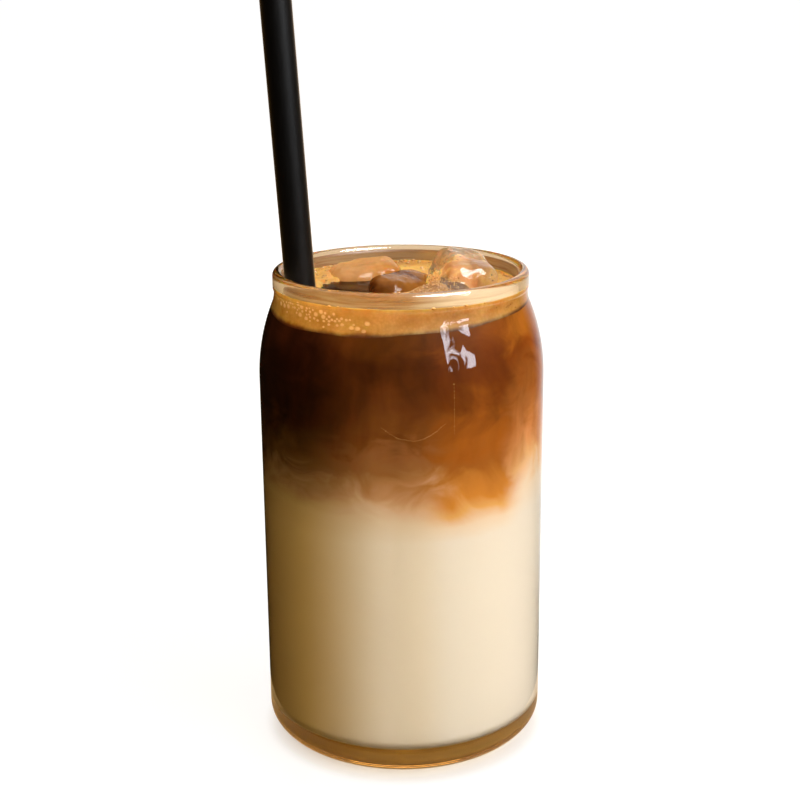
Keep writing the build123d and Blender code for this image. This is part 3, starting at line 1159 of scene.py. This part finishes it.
class COFFEE_OT_stage(bpy.types.Operator):
    """Set the stage: pale floor, white surroundings, soft lamps, dark card and camera"""

    bl_idname = "coffee.stage"
    bl_label = "Stage"

    def execute(self, context):
        scene = context.scene
        scene.view_settings.view_transform = "Standard"
        world = bpy.data.worlds.new("Studio")
        scene.world = world
        world.use_nodes = True
        tree = world.node_tree
        tree.nodes.clear()
        seen = white_to_the_eye(tree)
        tone = self.tone_through_glass(tree, (1, 1, 1, 1))
        white = add_node(tree, "Background", {"Color": tone, "Strength": 1.0})
        glow = add_node(tree, "Background", {"Color": (0.10, 0.062, 0.006, 1), "Strength": 0.6})
        mixed = add_node(tree, "MixShader", {0: seen, 1: glow, 2: white})
        add_node(tree, "OutputWorld", {"Surface": mixed})
        self.lay_floor(scene)
        self.hang_lamps(scene)
        self.hang_window(scene)
        self.hang_soft_box(scene)
        self.stand_card(scene)
        self.place_camera(scene)
        return {"FINISHED"}

    def tone_through_glass(self, tree, tone):
        """A colour for the surroundings, and a warmer one where clear glass bends them."""
        rays = add_node(tree, "LightPath")
        return add_node(
            tree,
            "Mix",
            {0: rays.outputs["Is Transmission Ray"], 6: tone, 7: (0.50, 0.33, 0.17, 1)},
            data_type="RGBA",
        ).outputs[2]

    def lay_floor(self, scene):
        """A wide pale floor just under the foot, white to the eye but for the shadow."""
        material, tree = new_material("Painted board, pale matt")
        seen = white_to_the_eye(tree)
        pale = add_node(tree, "BsdfDiffuse", {"Color": linear("8C8A88")})
        place = add_node(tree, "TexCoord").outputs["Object"]
        reach = add_node(tree, "VectorMath", {0: place}, operation="LENGTH").outputs["Value"]
        # Right under the foot the floor sees only light that came through the drink, and so does
        # what is seen of it through the base.
        rays = add_node(tree, "LightPath")
        low = add_node(
            tree, "MapRange", {"Value": rays.outputs["Is Camera Ray"], "To Min": 0.05, "To Max": 0.026}
        )
        high = add_node(
            tree, "MapRange", {"Value": rays.outputs["Is Camera Ray"], "To Min": 0.2, "To Max": 0.04}
        )
        near = add_node(tree, "MapRange", {"Value": reach, "From Min": low, "From Max": high})
        far = add_node(tree, "MapRange", {"Value": reach, "From Min": 0.15, "From Max": 0.9})
        pool = add_node(
            tree,
            "Mix",
            {0: near, 6: (0.34, 0.19, 0.04, 1), 7: self.tone_through_glass(tree, (0.86, 0.86, 0.86, 1))},
            data_type="RGBA",
        )
        open_floor = add_node(
            tree,
            "Mix",
            {0: far, 6: pool.outputs[2], 7: self.tone_through_glass(tree, (1, 1, 1, 1))},
            data_type="RGBA",
        )
        glow = add_node(tree, "Emission", {"Color": open_floor.outputs[2], "Strength": 1.0})
        lit = add_node(tree, "AddShader", {0: pale, 1: glow})
        warm = add_node(tree, "BsdfDiffuse", {"Color": (0.16, 0.10, 0.014, 1)})
        mixed = add_node(tree, "MixShader", {0: seen, 1: warm, 2: lit})
        add_node(tree, "OutputMaterial", {"Surface": mixed})
        bm = bmesh.new()
        bmesh.ops.create_grid(
            bm, x_segments=1, y_segments=1, size=40.0, matrix=Matrix.Translation((0, 0, -0.00015))
        )
        mesh = bpy.data.meshes.new("floor")
        bm.to_mesh(mesh)
        bm.free()
        mesh.materials.append(material)
        floor = bpy.data.objects.new("floor", mesh)
        scene.collection.objects.link(floor)
        floor.visible_shadow = False

    def hang_lamps(self, scene):
        """Soft square lamps, each at a level where 1 shows a colour as it is written."""
        for name, turn, rise, level, size, code in LAMPS:
            away = self.towards(turn, rise)
            place = Vector((0, 0, 0.09)) + away
            self.hang_lamp(scene, name, place, away, size, level * math.pi**2, code)
        # A small spot from the straw's side, which reaches little but the crema and the rim.
        away = Vector((-0.616, -0.788, 0.05)) * 0.3
        self.hang_lamp(scene, "spot", Vector((0, 0, 0.132)) + away, away, 0.03, 0.0026, "FFD47C", 10.0)
        # Light that comes up through the base, as from a light table under the foot.
        under = Vector((0, 0, -0.004))
        self.hang_lamp(scene, "under", under, under, 0.056, 0.017, "FFE197", shape="DISK")

    def towards(self, turn, rise):
        """The direction that lies turn degrees from the front towards +X and rise degrees up."""
        a, e = math.radians(turn), math.radians(rise)
        return Vector((math.sin(a) * math.cos(e), -math.cos(a) * math.cos(e), math.sin(e)))

    def hang_lamp(self, scene, name, place, away, size, energy, code, spread=180.0, shape="SQUARE"):
        """An area lamp at a place, shining back along away; only the back one shows in glass."""
        data = bpy.data.lights.new(name, "AREA")
        data.shape = shape
        data.size = size
        data.spread = math.radians(spread)
        data.energy = energy
        data.color = linear(code)[:3]
        lamp = bpy.data.objects.new(name, data)
        lamp.location = place
        lamp.rotation_euler = away.to_track_quat("Z", "Y").to_euler()
        lamp.visible_camera = False
        lamp.visible_glossy = False
        lamp.visible_transmission = name == "back"
        scene.collection.objects.link(lamp)

    def hang_window(self, scene):
        """A small bright window behind uneven cloth, low on the right."""
        material, tree = new_material("Window, through cloth")
        place = add_node(tree, "TexCoord").outputs["UV"]
        folds = add_node(
            tree, "TexNoise", {"Vector": place, "Scale": 1.9, "Detail": 2.0, "Distortion": 0.8}
        )
        open_share = add_node(
            tree,
            "MapRange",
            {"Value": folds.outputs["Fac"], "From Min": 0.44, "From Max": 0.52, "To Max": 13.0},
            interpolation_type="SMOOTHSTEP",
        )
        glow = add_node(tree, "Emission", {"Color": (0.86, 0.92, 1.0, 1), "Strength": open_share})
        add_node(tree, "OutputMaterial", {"Surface": glow})
        self.hang_panel(scene, "window", material, 49.0, 16.0, 0.45, 0.1)

    def hang_soft_box(self, scene):
        """The soft box that the key light comes from, as gloss shows it."""
        material, tree = new_material("Soft box, cloth")
        glow = add_node(tree, "Emission", {"Color": (0.95, 0.97, 1.0, 1), "Strength": 34.0})
        add_node(tree, "OutputMaterial", {"Surface": glow})
        self.hang_panel(scene, "soft_box", material, 50.0, 48.0, 0.8, 0.28)

    def hang_panel(self, scene, name, material, turn, rise, distance, half):
        """A square panel turned to the rim, which only gloss shows."""
        away = self.towards(turn, rise)
        place = Matrix.Translation(Vector((0.01, -0.03, 0.115)) + away * distance)
        facing = away.to_track_quat("Z", "Y").to_matrix().to_4x4()
        bm = bmesh.new()
        bm.loops.layers.uv.new("UVMap")
        bmesh.ops.create_grid(
            bm, x_segments=1, y_segments=1, size=half, matrix=place @ facing, calc_uvs=True
        )
        self.add_prop(scene, name, bm, material)

    def add_prop(self, scene, name, bm, material):
        """Makes the mesh a part of the stage that only gloss shows."""
        mesh = bpy.data.meshes.new(name)
        bm.to_mesh(mesh)
        bm.free()
        mesh.materials.append(material)
        prop = bpy.data.objects.new(name, mesh)
        scene.collection.objects.link(prop)
        prop.visible_camera = False
        prop.visible_diffuse = False
        prop.visible_transmission = False
        prop.visible_shadow = False

    def stand_card(self, scene):
        """A dark card that bends round the shaded side, which only gloss shows."""
        material, tree = new_material("Card, brown, matt")
        place = add_node(tree, "TexCoord").outputs["Object"]
        parts = add_node(tree, "SeparateXYZ", {0: place})
        front = add_node(tree, "Math", {0: parts.outputs["Y"], 1: -1.0}, operation="MULTIPLY")
        angle = add_node(tree, "Math", {0: parts.outputs["X"], 1: front}, operation="ARCTAN2")
        # It pales towards its far end, so that it shows no edge.
        pale = add_node(
            tree,
            "MapRange",
            {"Value": angle, "From Min": math.radians(125), "From Max": math.radians(163)},
            interpolation_type="SMOOTHSTEP",
        )
        tint = add_node(
            tree, "Mix", {0: pale, 6: (0.010, 0.005, 0.002, 1), 7: (1, 1, 1, 1)}, data_type="RGBA"
        )
        glow = add_node(tree, "Emission", {"Color": tint.outputs[2], "Strength": 1.0})
        add_node(tree, "OutputMaterial", {"Surface": glow})
        bm = bmesh.new()
        tip = bm.verts.new((0.05, 0, 0.0006))
        tip = line_to(bm, tip, 0.75, 0.0006, 2)
        line_to(bm, tip, 0.75, 0.9, 2)
        start = Matrix.Rotation(math.radians(90.0), 4, "Z")
        bmesh.ops.transform(bm, matrix=start, verts=bm.verts)
        bmesh.ops.spin(
            bm,
            geom=bm.verts[:] + bm.edges[:],
            cent=(0, 0, 0),
            axis=(0, 0, 1),
            angle=math.radians(CARD_TURN),
            steps=69,
        )
        self.add_prop(scene, "card", bm, material)

    def place_camera(self, scene):
        """The camera stands in front, a little above the rim, and looks slightly down."""
        data = bpy.data.cameras.new("camera")
        data.sensor_width = 36.0
        data.lens = CAMERA_LENS
        data.clip_start = 0.01
        data.clip_end = 100.0
        camera = bpy.data.objects.new("camera", data)
        tilt = Matrix.Rotation(math.radians(90 - CAMERA_DIP), 4, "X")
        roll = Matrix.Rotation(math.radians(CAMERA_ROLL), 4, "Z")
        camera.matrix_world = Matrix.Translation(CAMERA_PLACE) @ tilt @ roll
        scene.collection.objects.link(camera)
        scene.camera = camera


# ------------------------------------------------------------------------------ add-on
class COFFEE_PT_panel(bpy.types.Panel):
    """Buttons that build the drink piece by piece"""

    bl_label = "Iced Coffee"
    bl_idname = "COFFEE_PT_panel"
    bl_space_type = "VIEW_3D"
    bl_region_type = "UI"
    bl_category = "Iced Coffee"

    def draw(self, context):
        for operator in OPERATORS:
            self.layout.operator(operator.bl_idname)


OPERATORS = (
    COFFEE_OT_stage,
    COFFEE_OT_glass,
    COFFEE_OT_ice,
    COFFEE_OT_milk,
    COFFEE_OT_coffee,
    COFFEE_OT_crema,
    COFFEE_OT_straw,
    COFFEE_OT_bubbles,
    COFFEE_OT_surroundings_film,
)
GROUPS = {
    "coffee_glass": GlassSizes,
    "coffee_drink": DrinkSizes,
    "coffee_straw": StrawSizes,
    "coffee_colours": DrinkColours,
}


def register():
    for group in GROUPS.values():
        bpy.utils.register_class(group)
    for name, group in GROUPS.items():
        setattr(bpy.types.Scene, name, bpy.props.PointerProperty(type=group))
    for operator in OPERATORS:
        bpy.utils.register_class(operator)
    bpy.utils.register_class(COFFEE_PT_panel)


def unregister():
    bpy.utils.unregister_class(COFFEE_PT_panel)
    for operator in reversed(OPERATORS):
        bpy.utils.unregister_class(operator)
    for name, group in GROUPS.items():
        delattr(bpy.types.Scene, name)
        bpy.utils.unregister_class(group)


def main():
    register()
    bpy.ops.coffee.stage()
    bpy.ops.coffee.glass()
    bpy.ops.coffee.ice()
    bpy.ops.coffee.milk()
    bpy.ops.coffee.coffee()
    bpy.ops.coffee.crema()
    bpy.ops.coffee.straw()
    bpy.ops.coffee.bubbles()
    bpy.ops.coffee.residue()


if __name__ == "__main__":
    main()
